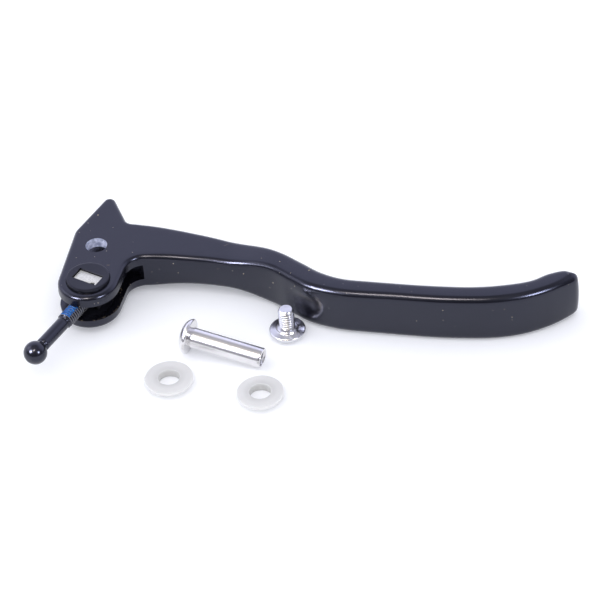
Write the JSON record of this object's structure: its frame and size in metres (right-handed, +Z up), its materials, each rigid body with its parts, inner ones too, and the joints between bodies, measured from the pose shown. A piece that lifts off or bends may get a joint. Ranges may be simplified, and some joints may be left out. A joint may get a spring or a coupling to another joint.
{
  "type": "hydraulic clutch lever kit",
  "caption": "Short hooked lever blade for a hydraulic clutch or brake, with a ball-ended threaded pushrod in a swivelling barrel nut and loose pivot pin, screw and flanged bushes.",
  "frame": {"origin": "centre of the kit's footprint, on the surface that it lies on", "axes": "+X along the lever blade towards its hooked tip, +Y towards the side that the fingers pull on, +Z up and parallel to the pivot axis"},
  "size_m": [0.1324, 0.0684, 0.013],
  "materials": {
    "satin_black": "forged aluminium with a satin black coat",
    "black_plastic": "black moulded plastic, slightly glossy",
    "bare_steel": "bare machined end, mottled",
    "black_oxide_steel": "black oxide, oiled",
    "blue_nylon": "blue thread-locking nylon sprayed on the thread",
    "polished_steel": "polished stainless steel",
    "plated_steel": "bright zinc plating",
    "natural_nylon": "natural translucent nylon, satin"
  },
  "bodies": {
    "lever": {"lever_blade": "satin_black"},
    "barrel": {"barrel_nut": "bare_steel", "upper_barrel_bush": "black_plastic", "lower_barrel_bush": "black_plastic"},
    "pushrod": {"pushrod": "black_oxide_steel", "thread_lock_patch": "blue_nylon"},
    "pin": {"pivot_pin": "polished_steel"},
    "screw": {"pivot_screw": "plated_steel"},
    "bush_left": {"pivot_bush_left": "natural_nylon"},
    "bush_right": {"pivot_bush_right": "natural_nylon"}
  },
  "joints": [
    {"name": "barrel_swivel", "type": "hinge", "parent": "lever", "child": "barrel", "pos_m": [-0.05187, 0.00321, 0.0065], "axis": [0, 0, 1], "range_deg": [-20, 20]},
    {"name": "pushrod_thread", "type": "slide", "parent": "barrel", "child": "pushrod", "axis": [-0.4848, -0.8746, 0], "range_m": [-0.003, 0.003]},
    {"name": "pin_lift", "type": "slide", "parent": "lever", "child": "pin", "axis": [0, 0, 1], "range_m": [0, 0.03]},
    {"name": "screw_lift", "type": "slide", "parent": "lever", "child": "screw", "axis": [0, 0, 1], "range_m": [0, 0.03]},
    {"name": "bush_left_lift", "type": "slide", "parent": "lever", "child": "bush_left", "axis": [0, 0, 1], "range_m": [0, 0.03]},
    {"name": "bush_right_lift", "type": "slide", "parent": "lever", "child": "bush_right", "axis": [0, 0, 1], "range_m": [0, 0.03]}
  ]
}
